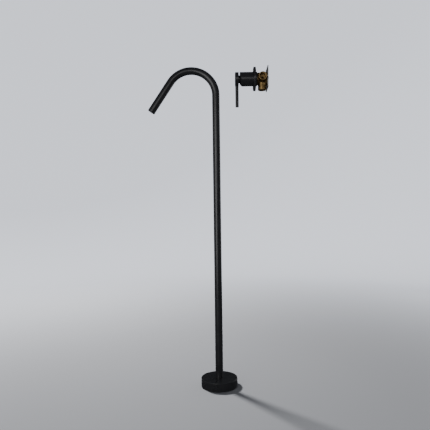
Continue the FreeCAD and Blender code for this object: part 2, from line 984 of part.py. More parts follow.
def lever_rod():
    """Rod with its upper end shaped to the round hub, and a stud that goes into the hub."""
    radius = rod_diameter / 2
    stud = rod_stud_diameter / 2
    stud_floor = hub_radius - rod_stud_length
    rod = turned(
        [
            (0, stud_floor),
            (radius, stud_floor),
            (radius, rod_reach - rod_edge),
            (radius - rod_edge, rod_reach),
            (0, rod_reach),
        ]
    )
    middle = Vector(0, 0, hub_middle)
    hub_space = bar(hub_radius + seal_gap, hub_back, hub_front)
    rod = aimed(rod, middle, Vector(-1, 0, 0)).cut(hub_space)
    stud_bar = bar(stud, stud_floor, hub_radius + stud)
    return rod.fuse(aimed(stud_bar, middle, Vector(-1, 0, 0))).removeSplitter()


def hub_grub_screw():
    screw = grub_screw(hub_grub_diameter, hub_grub_length, hub_grub_key, hub_grub_socket)
    return aimed(screw, Vector(0, stem_width / 2 + seal_gap, hub_middle), Vector(0, 1, 0))


def hub_plug():
    outer = hub_radius - hub_plug_sunk
    plug = bar(hub_grub_diameter / 2, outer - hub_plug_thickness, outer)
    return aimed(plug, Vector(0, 0, hub_middle), Vector(0, 1, 0))


units = [
    (
        column_frame,
        [
            floor_flange,
            floor_gasket,
            base_cover,
            cover_o_ring,
            lower_column,
            seam_washer,
            column_spigot,
            spigot_o_rings,
            spout_column,
            column_grub_screw,
        ],
    ),
    (
        outlet_frame,
        [outlet_bush, aerator_housing, aerator_grid, aerator_diffuser, aerator_washer],
    ),
    (
        control_frame,
        [
            wall_bracket,
            bracket_screws,
            valve_body,
            wall_plate,
            plate_seal,
            plate_o_ring,
            sleeve,
            sleeve_o_rings,
            cartridge_base,
            cartridge_seals,
            cartridge_housing,
            fixed_ceramic_disc,
            moving_ceramic_disc,
            disc_holder,
            temperature_carrier,
            pivot_pin,
            lever_stem,
            retaining_nut,
            dome_cap,
            handle_hub,
            lever_rod,
            hub_grub_screw,
            hub_plug,
        ],
    ),
]

os.makedirs("parts", exist_ok=True)
for frame, makers in units:
    for make in makers:
        piece = make()
        piece.Placement = frame.multiply(piece.Placement)
        piece.exportStep("parts/" + make.__name__ + ".step")
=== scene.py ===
import json
from math import asin, cos, dist, pi, radians, sin, sqrt, tan

import bmesh
import bpy
from mathutils import Matrix, Vector


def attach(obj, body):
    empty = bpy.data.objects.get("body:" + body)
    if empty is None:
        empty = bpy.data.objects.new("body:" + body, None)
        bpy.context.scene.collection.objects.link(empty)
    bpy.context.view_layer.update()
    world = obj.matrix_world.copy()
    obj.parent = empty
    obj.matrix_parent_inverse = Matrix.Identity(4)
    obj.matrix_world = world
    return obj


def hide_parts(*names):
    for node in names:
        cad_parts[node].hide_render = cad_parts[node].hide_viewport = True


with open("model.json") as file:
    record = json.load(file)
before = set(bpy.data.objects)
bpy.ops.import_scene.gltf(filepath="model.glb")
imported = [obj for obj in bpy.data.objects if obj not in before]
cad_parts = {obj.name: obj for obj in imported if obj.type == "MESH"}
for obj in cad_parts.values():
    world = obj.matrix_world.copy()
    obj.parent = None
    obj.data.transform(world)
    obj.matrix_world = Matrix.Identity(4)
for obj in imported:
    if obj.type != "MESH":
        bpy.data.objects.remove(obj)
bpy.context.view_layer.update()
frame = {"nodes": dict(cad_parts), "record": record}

# Sizes in millimetres, the same as in the solids
tube_radius = 12.7
bore_radius = 10.0
bend_radius = 83.2
bend_angle = radians(146.2)
bend_height = 977.8
outlet_length = 120.5
seat_floor = 14.0
seam_height = 176.0
seam_gap = 0.8
seam_inset = 0.6
spout_foot = seam_height + seam_gap
column_grub_above_foot = 11.2
column_grub_height = spout_foot + column_grub_above_foot
column_grub_turn = radians(-25.0)
column_grub_tip = 8.95
column_grub_end = 11.9
slip_gap = 0.1
brazed_gap = 0.05
grub_radius = 2.5
grub_hole = grub_radius + slip_gap
grub_key = 2.5
grub_socket_depth = 1.6

base_radius = 60.5
base_inner_radius = 58.0
base_height = 28.5
base_ceiling = 25.5
cover_hole = 13.1
cover_collar = 16.4
cover_collar_depth = 3.0
cover_groove = 14.8
cover_groove_floor = 24.2
cover_groove_top = 26.8
flange_radius = 57.5
flange_thickness = 10.0
flange_boss = 18.2
flange_top = 22.0
floor_bolt_circle = 43.0
floor_bolt_radius = 3.5
floor_bolt_count = 4
inlet_radius = 9.5
inlet_depth = 12.0
water_radius = 6.5
gasket_inner = 14.4
gasket_outer = 18.6
gasket_depth = 2.0

outlet_recess = 0.8
bush_outer = 9.95
bush_inner = 8.35
bush_lip = 6.95
bush_lip_floor = 12.6
bush_top = 14.6
aerator_radius = 8.25
aerator_inner = 7.05
aerator_lip = 6.25
aerator_top = 11.2
grid_floor = 2.0
grid_thickness = 3.0
grid_radius = 6.95
grid_inner = 6.15
grid_top = 8.0
cell_rings = 2
cell_web = 0.4

wall_distance = 134.0
control_height = 1030.0
plate_radius = 39.5
plate_thickness = 7.0
plate_recess = 4.5
plate_rim = 35.5
plate_hole = 23.8
plate_hub = 26.8
plate_groove = 25.2
plate_groove_floor = 2.4
plate_groove_top = 4.6
plate_seal_width = 4.0
plate_seal_outer = plate_rim - slip_gap
plate_seal_inner = plate_seal_outer - plate_seal_width
sleeve_radius = 23.5
sleeve_inner = 20.5
sleeve_tail = -5.0
sleeve_front = 52.5
sleeve_opening = 16.2
sleeve_nose = 66.52
land_radius = 19.75
land_rise = 2.95
pivot = 40.5
hub_radius = 23.5
hub_back = 56.7
hub_front = 68.5
hub_middle = 62.6
neck_radius = 12.5
neck_bore = 10.7
neck_back = 52.89
rod_radius = 5.6
rod_reach = 93.6
rod_joint_gap = 0.05
rod_joint = hub_radius + rod_joint_gap
dome_radius = 17.6
dome_inner = 16.0
dome_collar = 10.6
dome_collar_top = hub_back - slip_gap
dome_bore = 9.2
dome_reach = radians(74.0)
plug_face = 22.9
plug_thickness = 2.4
stem_width = 7.0
stem_shank = 2.4
stem_shoulder = 29.5
stem_end = 64.3
stem_ball = 3.0
stem_ball_place = 23.9
pivot_bore = 2.05

ports_place = -22.0
port_boss = 14.0
port_reach = 38.0
port_radius = 9.5
port_depth = 15.0
port_floor = port_reach - port_depth
barrel_radius = 21.0
barrel_back = -38.0
barrel_front = -8.0
collar_radius = 20.2
collar_front = 40.0
nut_seat = 18.7
nut_shoulder = 33.5
cartridge_seat = 17.6
cartridge_floor = 4.5
ring_groove = 18.9
ring_groove_width = 2.2
ring_groove_floors = (7.9, 23.9)
inlet_drill = 4.0
inlet_drill_drop = 3.5
outlet_drill = 3.0
drill_start = 5.0
bracket_width = 72.0
bracket_back = -40.5
bracket_corner = 5.0
bracket_hole_place = 28.0
bracket_hole = 2.75
screw_spread = 13.0
screw_head = 4.5
screw_head_height = 3.0
screw_tail = bracket_back - screw_head_height
screw_shank = 2.5
screw_tip = -30.0

# Sizes in millimetres of the fine forms that the solids leave out
thread_pitch = 1.814
thread_depth = 0.9
thread_margin = 2.0
port_thread_lead = 1.0
floor_thread_lead = 1.2
plug_sink = 0.5
plug_sink_depth = 0.35
port_sink = 0.8
port_sink_depth = 0.6
notch_count = 16
notch_offset = 0.3
notch_radius = 0.55
notch_depth = 1.6
notch_sides = 12
boss_start = 8.0
boss_start_flare = 2.5
boss_bend = 17.0
boss_bend_flare = 2.0
boss_straight = 24.0
screw_dome_inset = 0.6
screw_dome_height = 1.2
screw_key = 3.0
screw_socket_depth = 1.8
bracket_edge = 0.35

# Fillets in millimetres
sharp = 0
faint = 0.1
broken = 0.2
eased = 0.3
softened = 0.4
soft = 0.5
black_rim = 0.9
washer_edge = 0.15
bevel_edge = 0.25
mouth_edge = 0.35
seam_edge = 0.45
barrel_step = 0.6
screw_tip_edge = 0.6
screw_dome_edge = 0.8
boss_rim = 0.8
flange_rim = 1.0
base_rim = 1.1
barrel_rim = 1.5
flange_root = 2.5
boss_foot = 3.0
boss_root = 6.0

# How meshes are made: a cutter goes past a face by the overlap, the column's countersink is cut up past its
# round face, and a drill is longer than its sheet is thick by the drill factor
metre = 0.001
smooth_angle = radians(32)
merge_distance = 0.000002
on_axis = 0.000001
overlap = 1.0
grub_sink = 1.4
drill_factor = 4
bracket_drill = 20.0
bend_steps = 100
dome_steps = 10
ball_steps = 16
corner_steps = 12


# Frames: local Z of the control runs out from the wall and local X is up; local Z of the outlet runs up the
# tube from its end; local Z of a port, screw, plug or rod points outwards.

def facing(start, direction):
    """Frame at a start point whose local Z points in a direction."""
    return Matrix.Translation(start) @ Vector(direction).to_track_quat("Z", "Y").to_matrix().to_4x4()


outlet_end = Vector((
    bend_radius * (cos(bend_angle) - 1) - outlet_length * sin(bend_angle),
    0,
    bend_height + bend_radius * sin(bend_angle) + outlet_length * cos(bend_angle),
))
control_place = (wall_distance, 0, control_height)
floor_frame = Matrix.Identity(4)
outlet_frame = Matrix.Translation(outlet_end) @ Matrix.Rotation(pi - bend_angle, 4, "Y")
control_frame = Matrix.Translation(control_place) @ Matrix.Rotation(-pi / 2, 4, "Y")
column_grub_frame = facing(
    (0, 0, column_grub_height), (cos(column_grub_turn), sin(column_grub_turn), 0)
)
plug_frame = control_frame @ facing((0, 0, hub_middle), (0, 1, 0))
rod_frame = control_frame @ facing((0, 0, hub_middle), (-1, 0, 0))
pin_frame = control_frame @ facing((0, 0, pivot), (0, 1, 0))
square_frame = control_frame @ Matrix.Rotation(pi / 4, 4, "Z")
port_ways = {"hot": (0, 1, 0), "cold": (0, -1, 0), "mixed": (-1, 0, 0)}
port_frames = {
    port: control_frame @ facing((0, 0, ports_place), way) for port, way in port_ways.items()
}


# Nodes, for shaders and for geometry

def add_node(tree, kind, inputs=None, **settings):
    """New node with its settings. Each input takes a link from a socket, or a value of its own."""
    node = tree.nodes.new(kind)
    for label, value in settings.items():
        setattr(node, label, value)
    for label, value in (inputs or {}).items():
        if isinstance(value, bpy.types.NodeSocket):
            tree.links.new(value, node.inputs[label])
        else:
            node.inputs[label].default_value = value
    return node


def combine(tree, operation, first, second=0.0):
    """Math node on sockets or numbers."""
    return add_node(tree, "ShaderNodeMath", {0: first, 1: second}, operation=operation).outputs[0]


# Shader node groups

mottle_span = (0.32, 0.68)
break_up_span = (0.3, 0.75)
streak_span = (0.3, 0.7)
streak_scale = 500
streak_stretch = (1, 4, 0.06)
whole_span = (0, 1)


def new_group(name, inputs, outputs):
    """Shader node group with float inputs, each with its value, and float outputs."""
    tree = bpy.data.node_groups.new(name, "ShaderNodeTree")
    for label, value in inputs.items():
        socket = tree.interface.new_socket(label, in_out="INPUT", socket_type="NodeSocketFloat")
        socket.default_value = value
    for label in outputs:
        tree.interface.new_socket(label, in_out="OUTPUT", socket_type="NodeSocketFloat")
    return tree, tree.nodes.new("NodeGroupInput").outputs


def spread(tree, source, span, to_span=whole_span, kind="LINEAR"):
    """Stretch a value's useful span to another span."""
    node = add_node(tree, "ShaderNodeMapRange", {
        "Value": source,
        "From Min": span[0],
        "From Max": span[1],
        "To Min": to_span[0],
        "To Max": to_span[1],
    }, interpolation_type=kind)
    return node.outputs["Result"]


def object_noise(tree, scale, detail, stretch=(1, 1, 1)):
    """Noise on the piece's own coordinates. The scale may be a socket or a number."""
    place = add_node(tree, "ShaderNodeTexCoord").outputs["Object"]
    mapping = add_node(tree, "ShaderNodeMapping", {"Vector": place, "Scale": stretch})
    noise = add_node(tree, "ShaderNodeTexNoise", {
        "Vector": mapping.outputs["Vector"],
        "Scale": scale,
        "Detail": detail,
    })
    return noise.outputs["Fac"]


def make_surface_grain():
    """Fine height for bumps, and a slow mottle for colour and gloss."""
    inputs = {"Grain Scale": 1800, "Mottle Scale": 30}
    tree, entry = new_group("surface_grain", inputs, ["Height", "Mottle"])
    mottle = object_noise(tree, entry["Mottle Scale"], detail=4)
    add_node(tree, "NodeGroupOutput", {
        "Height": object_noise(tree, entry["Grain Scale"], detail=3),
        "Mottle": spread(tree, mottle, mottle_span),
    })
    return tree


def make_rubbed_edges():
    """Mask along the rounded edges of a piece, broken up so that it isn't an even line."""
    tree, entry = new_group("rubbed_edges", {"Break-up Scale": 260, "Amount": 0.5}, ["Mask"])
    edge = add_node(tree, "ShaderNodeAttribute", attribute_name="edge").outputs["Fac"]
    patches = spread(tree, object_noise(tree, entry["Break-up Scale"], detail=3), break_up_span)
    mask = combine(tree, "MULTIPLY", edge, patches)
    add_node(tree, "NodeGroupOutput", {"Mask": combine(tree, "MULTIPLY", mask, entry["Amount"])})
    return tree


def make_turning_lines():
    """Height of the fine lines that a lathe leaves round a turned piece."""
    tree, entry = new_group("turning_lines", {"Lines per Millimetre": 4}, ["Height"])
    along = add_node(tree, "ShaderNodeAttribute", attribute_name="along").outputs["Fac"]
    noise = add_node(tree, "ShaderNodeTexNoise", {
        "W": along,
        "Scale": entry["Lines per Millimetre"],
        "Detail": 2,
    }, noise_dimensions="1D")
    add_node(tree, "NodeGroupOutput", {"Height": noise.outputs["Fac"]})
    return tree


surface_grain = make_surface_grain()
rubbed_edges = make_rubbed_edges()
turning_lines = make_turning_lines()


# Finishes

first_colour, second_colour, mixed_colour = 6, 7, 2  # places of the colour sockets on a mix node


def colour_between(tree, mask, first, second):
    """Mix two colours, each a socket or a linear colour, by a mask."""
    first, second = ((*value, 1) if isinstance(value, tuple) else value for value in (first, second))
    inputs = {"Factor": mask, first_colour: first, second_colour: second}
    return add_node(tree, "ShaderNodeMix", inputs, data_type="RGBA").outputs[mixed_colour]


def new_material(name):
    """Material with its node tree and its shader."""
    material = bpy.data.materials.new(name)
    material.use_nodes = True
    tree = material.node_tree
    return material, tree, tree.nodes["Principled BSDF"]


def make_finish(
    name, colours, mottle_scale, roughness, bump, grain_scale=None, worn=None, turned=False, values=None
):
    """Finish whose colour drifts between two colours with a slow mottle.

    Its bump has a strength and a depth in metres. Worn edges have an amount and a colour, and a turned
    finish has lathe lines. A finish without a grain scale is brushed, with streaks in place of grain.
    """
    material, tree, shader = new_material(name)
    surface = add_node(tree, "ShaderNodeGroup", {"Mottle Scale": mottle_scale}, node_tree=surface_grain)
    mottle = surface.outputs["Mottle"]
    if grain_scale:
        surface.inputs["Grain Scale"].default_value = grain_scale
        height = surface.outputs["Height"]
        gloss = spread(tree, mottle, whole_span, roughness)
    else:
        height = object_noise(tree, streak_scale, detail=2, stretch=streak_stretch)
        gloss = spread(tree, height, streak_span, roughness)
    colour = colour_between(tree, mottle, *colours)
    if worn:
        amount, worn_colour = worn
        edges = add_node(tree, "ShaderNodeGroup", {"Amount": amount}, node_tree=rubbed_edges)
        colour = colour_between(tree, edges.outputs["Mask"], colour, worn_colour)
    if turned:
        lines = add_node(tree, "ShaderNodeGroup", node_tree=turning_lines)
        height = combine(tree, "ADD", height, lines.outputs["Height"])
    strength, depth = bump
    relief = add_node(tree, "ShaderNodeBump", {"Height": height, "Strength": strength, "Distance": depth})
    tree.links.new(colour, shader.inputs["Base Color"])
    tree.links.new(gloss, shader.inputs["Roughness"])
    tree.links.new(relief.outputs["Normal"], shader.inputs["Normal"])
    for label, value in (values or {}).items():
        shader.inputs[label].default_value = value
    return material


finish_looks = {
    # Matt powder coat with a fine orange-peel skin, a little brighter on its rubbed edges
    "black_coat": dict(
        colours=((0.0078, 0.0078, 0.0083), (0.0108, 0.0108, 0.0115)),
        grain_scale=2200, mottle_scale=22, roughness=(0.25, 0.33), bump=(0.05, 0.0003),
        worn=(0.55, (0.034, 0.034, 0.036)), values={"Specular IOR Level": 0.36},
    ),
    # Bare brass, dulled in places, with fine lines where it was turned
    "raw_brass": dict(
        colours=((0.17, 0.112, 0.045), (0.29, 0.20, 0.09)),
        grain_scale=1500, mottle_scale=60, roughness=(0.52, 0.38), bump=(0.25, 0.0002),
        turned=True, values={"Metallic": 1},
    ),
    # Moulded seals and plug
    "black_rubber": dict(
        colours=((0.012, 0.012, 0.012), (0.026, 0.026, 0.026)),
        grain_scale=1200, mottle_scale=90, roughness=(0.68, 0.82), bump=(0.2, 0.0002),
    ),
    # Moulded pieces of the cartridge, which let a little light in
    "pale_acetal": dict(
        colours=((0.70, 0.69, 0.64), (0.80, 0.79, 0.75)),
        grain_scale=900, mottle_scale=45, roughness=(0.36, 0.48), bump=(0.08, 0.0002),
        values={"Subsurface Weight": 0.08, "Subsurface Radius": (0.002, 0.002, 0.0016)},
    ),
    # Lapped discs
    "disc_ceramic": dict(
        colours=((0.82, 0.81, 0.76), (0.87, 0.86, 0.83)),
        grain_scale=3000, mottle_scale=120, roughness=(0.12, 0.2), bump=(0.04, 0.0001),
    ),
    # Moulded insert of the outlet, a little brighter on its rubbed edges
    "dark_plastic": dict(
        colours=((0.018, 0.018, 0.020), (0.030, 0.030, 0.032)),
        grain_scale=1600, mottle_scale=110, roughness=(0.38, 0.5), bump=(0.1, 0.0002),
        worn=(0.4, (0.09, 0.09, 0.095)),
    ),
    # Brushed sheet with fine streaks up and down, and lathe lines on turned screws
    "stainless_steel": dict(
        colours=((0.46, 0.46, 0.45), (0.60, 0.60, 0.59)),
        mottle_scale=50, roughness=(0.24, 0.42), bump=(0.12, 0.0001),
        turned=True, values={"Metallic": 1},
    ),
}
finishes = {name: make_finish(name, **look) for name, look in finish_looks.items()}
slots = {subpart["node"]: subpart["material_slot"] for subpart in frame["record"]["subparts"]}
for node, slot in slots.items():
    solid = frame["nodes"][node]
    solid.data.materials.clear()
    solid.data.materials.append(finishes[slot])


# Mesh helpers

def rounded(corners, steps=5, hold=0.2, most=1 / 8):
    """Points (radius, height, edge) of an outline whose (radius, height, fillet) corners are rounded.

    A pair of extra points beside each fillet holds the flat faces flat in smooth shading. They lie at the
    hold distance from it, or nearer on a short side, at most that share of its length.
    """
    points = []
    for index, (radius, height, fillet) in enumerate(corners):
        if not fillet:
            points.append((radius, height, 0))
            continue
        here = Vector((radius, height))
        before = Vector(corners[index - 1][:2]) - here
        after = Vector(corners[(index + 1) % len(corners)][:2]) - here
        back, ahead = before.normalized(), after.normalized()
        half = back.angle(ahead) / 2
        reach = fillet / tan(half)
        centre = here + (back + ahead).normalized() * fillet / sin(half)
        start = here + back * reach - centre
        sweep = start.angle_signed(here + ahead * reach - centre)
        points.append((*(here + back * (reach + min(hold, before.length * most))), 0))
        for step in range(steps + 1):
            turn = Matrix.Rotation(-sweep * step / steps, 2)
            points.append((*(centre + turn @ start), 1))
        points.append((*(here + ahead * (reach + min(hold, after.length * most))), 0))
    return points


def turned_shape(outline, segments):
    """Mesh turned about local Z from a list of corners, or from a function of the angle that gives one.

    An outline that starts on the axis also ends there, and the others close on themselves.
    """
    shape = bmesh.new()
    edge = shape.verts.layers.float.new("edge")
    along = shape.verts.layers.float.new("along")
    columns = []
    for step in range(segments):
        angle = 2 * pi * step / segments
        points = rounded(outline(angle) if callable(outline) else outline)
        column = []
        distance = 0
        for index, (radius, height, on_edge) in enumerate(points):
            if index:
                distance += dist(points[index - 1][:2], (radius, height))
            if radius < on_axis and columns:
                column.append(columns[0][index])
                continue
            vertex = shape.verts.new((radius * cos(angle), radius * sin(angle), height))
            vertex[edge] = on_edge
            vertex[along] = distance
            column.append(vertex)
        columns.append(column)
    count = len(points)
    starts_on_axis = points[0][0] < on_axis
    for left, right in zip(columns, columns[1:] + columns[:1]):
        for index in range(count - 1 if starts_on_axis else count):
            after = (index + 1) % count
            corners = list(dict.fromkeys([left[index], right[index], right[after], left[after]]))
            if len(corners) > 2:
                shape.faces.new(corners)
    bmesh.ops.recalc_face_normals(shape, faces=shape.faces)
    return shape


def bar(radius, low, high, low_edge=sharp, high_edge=sharp):
    """Outline of a round bar."""
    return [(0, low, sharp), (radius, low, low_edge), (radius, high, high_edge), (0, high, sharp)]


def sunk_bar(radius, low, shoulder, sink):
    """Outline of a bar that flares above its shoulder, for a hole with a countersink."""
    top = shoulder + sink
    return bar(radius, low, shoulder)[:-1] + [(radius + sink, top, sharp), (0, top, sharp)]


def on_circle(radius, height, count, start=0.0):
    """Points evenly round local Z, from a start angle."""
    angles = [start + 2 * pi * step / count for step in range(count)]
    return [(radius * cos(angle), radius * sin(angle), height) for angle in angles]


def raised_shape(ring, rise):
    """Prism raised along local Z from a ring of points."""
    shape = bmesh.new()
    bottom = shape.faces.new([shape.verts.new(place) for place in ring])
    raised = bmesh.ops.extrude_face_region(shape, geom=[bottom])["geom"]
    lifted = [item for item in raised if isinstance(item, bmesh.types.BMVert)]
    bmesh.ops.translate(shape, verts=lifted, vec=(0, 0, rise))
    bmesh.ops.recalc_face_normals(shape, faces=shape.faces)
    return shape


def prism_shape(sides, across_flats, low, high):
    """Regular prism along local Z with a corner on local X."""
    corner = across_flats / 2 / cos(pi / sides)
    return raised_shape(on_circle(corner, low, sides), high - low)


def soften(shape, edges, width):
    """Round off some edges of a shape."""
    bmesh.ops.bevel(shape, geom=edges, offset=width, segments=3, affect="EDGES", profile=0.5)


def add_object(name, data):
    """New object in the scene."""
    item = bpy.data.objects.new(name, data)
    bpy.context.scene.collection.objects.link(item)
    return item


def smooth_faces(mesh):
    """Smooth shading that stops at sharp edges."""
    mesh.shade_smooth()
    mesh.set_sharp_from_angle(angle=smooth_angle)


def mesh_from(name, shape):
    """Mesh that uses up a shape."""
    mesh = bpy.data.meshes.new(name)
    shape.to_mesh(mesh)
    shape.free()
    smooth_faces(mesh)
    return mesh


def piece_from(name, shape, placing, finish):
    """Object at the origin from a shape in millimetres, put in place by its frame."""
    shape.transform(Matrix.Scale(metre, 4) @ placing)
    mesh = mesh_from(name, shape)
    mesh.materials.append(finishes[finish])
    return add_object(name, mesh)


def lathe(name, placing, finish, outline, segments):
    """Piece turned about local Z of its frame."""
    return piece_from(name, turned_shape(outline, segments), placing, finish)


def close_cuts(mesh):
    """Merge the doubled points, split the many-sided faces and drop the slivers that a cut can leave."""
    shape = bmesh.new()
    shape.from_mesh(mesh)
    bmesh.ops.remove_doubles(shape, verts=shape.verts, dist=merge_distance)
    wide = [face for face in shape.faces if len(face.verts) > 4]
    bmesh.ops.triangulate(shape, faces=wide, ngon_method="BEAUTY")
    bmesh.ops.dissolve_degenerate(shape, edges=shape.edges, dist=merge_distance)
    shape.to_mesh(mesh)
    shape.free()


def settle(piece):
    """Turn a piece's modifiers into a plain mesh."""
    graph = bpy.context.evaluated_depsgraph_get()
    mesh = bpy.data.meshes.new_from_object(
        piece.evaluated_get(graph), preserve_all_data_layers=True, depsgraph=graph
    )
    piece.modifiers.clear()
    piece.data = mesh
    close_cuts(mesh)
    smooth_faces(mesh)
    return piece


def remove_helper(helper):
    """Drop an object and its mesh."""
    mesh = helper.data
    bpy.data.objects.remove(helper)
    bpy.data.meshes.remove(mesh)


def combine_shapes(piece, helper, operation):
    """Cut a helper piece from another, or join it on, and drop the helper."""
    modifier = piece.modifiers.new("shape", "BOOLEAN")
    modifier.operation = operation
    modifier.solver = "EXACT"
    modifier.object = helper
    settle(piece)
    remove_helper(helper)
    return piece


def keep(piece, body, finish, *nodes):
    """The piece moves with a body and stands for its nodes, which are hidden. The finish is not used."""
    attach(piece, body)
    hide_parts(*nodes)


# Geometry Nodes

def new_tree(name, inputs):
    """Geometry node tree with a geometry in and out and named inputs, each with its socket type."""
    tree = bpy.data.node_groups.new(name, "GeometryNodeTree")
    for label, kind in {"Geometry": "Geometry", **inputs, "Finish": "Material"}.items():
        tree.interface.new_socket(label, in_out="INPUT", socket_type="NodeSocket" + kind)
    tree.interface.new_socket("Geometry", in_out="OUTPUT", socket_type="NodeSocketGeometry")
    return tree, tree.nodes.new("NodeGroupInput").outputs


def close_tree(tree, entry, geometry):
    """End a tree in plain geometry with the finish on it."""
    plain = add_node(tree, "GeometryNodeRealizeInstances", {"Geometry": geometry})
    painted = add_node(tree, "GeometryNodeSetMaterial", {
        "Geometry": plain.outputs["Geometry"],
        "Material": entry["Finish"],
    })
    add_node(tree, "NodeGroupOutput", {"Geometry": painted.outputs["Geometry"]})
    return tree


def run_tree(piece, tree, finish, **values):
    """Run a tree on a piece with its inputs set by their identifiers, and keep the plain mesh."""
    modifier = piece.modifiers.new("nodes", "NODES")
    modifier.node_group = tree
    values["Finish"] = finishes[finish]
    for item in tree.interface.items_tree:
        label = item.name.replace(" ", "_")
        if item.in_out == "INPUT" and label in values:
            modifier[item.identifier] = values[label]
    return settle(piece)


def make_bent_tube():
    """Bends a tube along local Z: straight up to a height, round an arc towards -X, then straight again."""
    labels = ("Bend Start", "Bend Radius", "Bend Angle")
    tree, entry = new_tree("bent_tube", {label: "Float" for label in labels})
    start, radius, angle = (entry[label] for label in labels)
    place = add_node(tree, "GeometryNodeInputPosition").outputs[0]
    apart = add_node(tree, "ShaderNodeSeparateXYZ", {0: place}).outputs
    beyond = combine(tree, "MAXIMUM", combine(tree, "SUBTRACT", apart["Z"], start), 0.0)
    turn = combine(tree, "MINIMUM", combine(tree, "DIVIDE", beyond, radius), angle)
    tail = combine(tree, "SUBTRACT", beyond, combine(tree, "MULTIPLY", turn, radius))
    foot = combine(tree, "MINIMUM", apart["Z"], start)
    arm = combine(tree, "ADD", radius, apart["X"])
    sine = combine(tree, "SINE", turn)
    cosine = combine(tree, "COSINE", turn)
    arm_side, arm_rise = combine(tree, "MULTIPLY", arm, cosine), combine(tree, "MULTIPLY", arm, sine)
    tail_side, tail_rise = combine(tree, "MULTIPLY", tail, sine), combine(tree, "MULTIPLY", tail, cosine)
    side = combine(tree, "SUBTRACT", arm_side, tail_side)
    rise = combine(tree, "ADD", arm_rise, tail_rise)
    bent = add_node(tree, "ShaderNodeCombineXYZ", {
        "X": combine(tree, "SUBTRACT", side, radius),
        "Y": apart["Y"],
        "Z": combine(tree, "ADD", foot, rise),
    })
    move = add_node(tree, "GeometryNodeSetPosition", {
        "Geometry": entry["Geometry"],
        "Position": bent.outputs[0],
    })
    return close_tree(tree, entry, move.outputs["Geometry"])


def make_drilled():
    """Cuts a round or many-sided hole along local Z at each point of a helper."""
    tree, entry = new_tree("drilled", {
        "Places": "Object",
        "Hole Radius": "Float",
        "Hole Depth": "Float",
        "Hole Sides": "Int",
    })
    places = add_node(tree, "GeometryNodeObjectInfo", {"Object": entry["Places"]})
    cutter = add_node(tree, "GeometryNodeMeshCylinder", {
        "Vertices": entry["Hole Sides"],
        "Radius": entry["Hole Radius"],
        "Depth": entry["Hole Depth"],
    })
    holes = add_node(tree, "GeometryNodeInstanceOnPoints", {
        "Points": places.outputs["Geometry"],
        "Instance": cutter.outputs["Mesh"],
    })
    solid = add_node(tree, "GeometryNodeRealizeInstances", {"Geometry": holes.outputs["Instances"]})
    cut = add_node(tree, "GeometryNodeMeshBoolean", {
        "Mesh 1": entry["Geometry"],
        "Mesh 2": solid.outputs["Geometry"],
    }, operation="DIFFERENCE", solver="EXACT")
    return close_tree(tree, entry, cut.outputs["Mesh"])


def make_copies():
    """A copy of a helper shape at each point of the piece's own mesh."""
    tree, entry = new_tree("copies", {"Shape": "Object"})
    shape = add_node(tree, "GeometryNodeObjectInfo", {"Object": entry["Shape"]})
    repeats = add_node(tree, "GeometryNodeInstanceOnPoints", {
        "Points": entry["Geometry"],
        "Instance": shape.outputs["Geometry"],
    })
    return close_tree(tree, entry, repeats.outputs["Instances"])


def make_thread():
    """Ridge of a screw thread that climbs local Z."""
    labels = ("Radius", "Pitch", "Turns", "Ridge")
    tree, entry = new_tree("thread", {label: "Float" for label in labels})
    spiral = add_node(tree, "GeometryNodeCurveSpiral", {
        "Resolution": 40,
        "Rotations": entry["Turns"],
        "Start Radius": entry["Radius"],
        "End Radius": entry["Radius"],
        "Height": combine(tree, "MULTIPLY", entry["Pitch"], entry["Turns"]),
    })
    ridge = add_node(tree, "GeometryNodeCurvePrimitiveCircle", {"Resolution": 4, "Radius": entry["Ridge"]})
    sweep = add_node(tree, "GeometryNodeCurveToMesh", {
        "Curve": spiral.outputs["Curve"],
        "Profile Curve": ridge.outputs["Curve"],
        "Fill Caps": True,
    })
    return close_tree(tree, entry, sweep.outputs["Mesh"])


bent_tube = make_bent_tube()
drilled = make_drilled()
copies = make_copies()
thread = make_thread()


def points_piece(places, name="places"):
    """Object whose loose points, in millimetres, mark where something repeats."""
    mesh = bpy.data.meshes.new("places")
    mesh.from_pydata([Vector(place) * metre for place in places], [], [])
    return add_object(name, mesh)


def drill(piece, finish, places, radius, depth, sides=32):
    """Cut holes along local Z into a piece that still lies in its own frame."""
    helper = points_piece(places)
    run_tree(
        piece, drilled, finish,
        Places=helper, Hole_Radius=radius * metre, Hole_Depth=depth * metre, Hole_Sides=sides,
    )
    remove_helper(helper)
    return piece


def put(piece, placing):
    """Move a piece's mesh from its own frame, still in metres, to its place on the object."""
    shift = Matrix.Translation(placing.translation * metre)
    piece.data.transform(shift @ placing.to_3x3().to_4x4())
    return piece


# Floor unit

def base_cover():
    """Round cover with a groove for the ring that grips the column."""
    return lathe("base_cover_skin", floor_frame, "black_coat", [
        (base_inner_radius, 0, eased),
        (base_radius, 0, soft),
        (base_radius, base_height, base_rim),
        (cover_hole, base_height, softened),
        (cover_hole, cover_groove_top, sharp),
        (cover_groove, cover_groove_top, sharp),
        (cover_groove, cover_groove_floor, sharp),
        (cover_hole, cover_groove_floor, sharp),
        (cover_hole, base_ceiling - cover_collar_depth, broken),
        (cover_collar, base_ceiling - cover_collar_depth, broken),
        (cover_collar, base_ceiling, sharp),
        (base_inner_radius, base_ceiling, soft),
    ], segments=256)


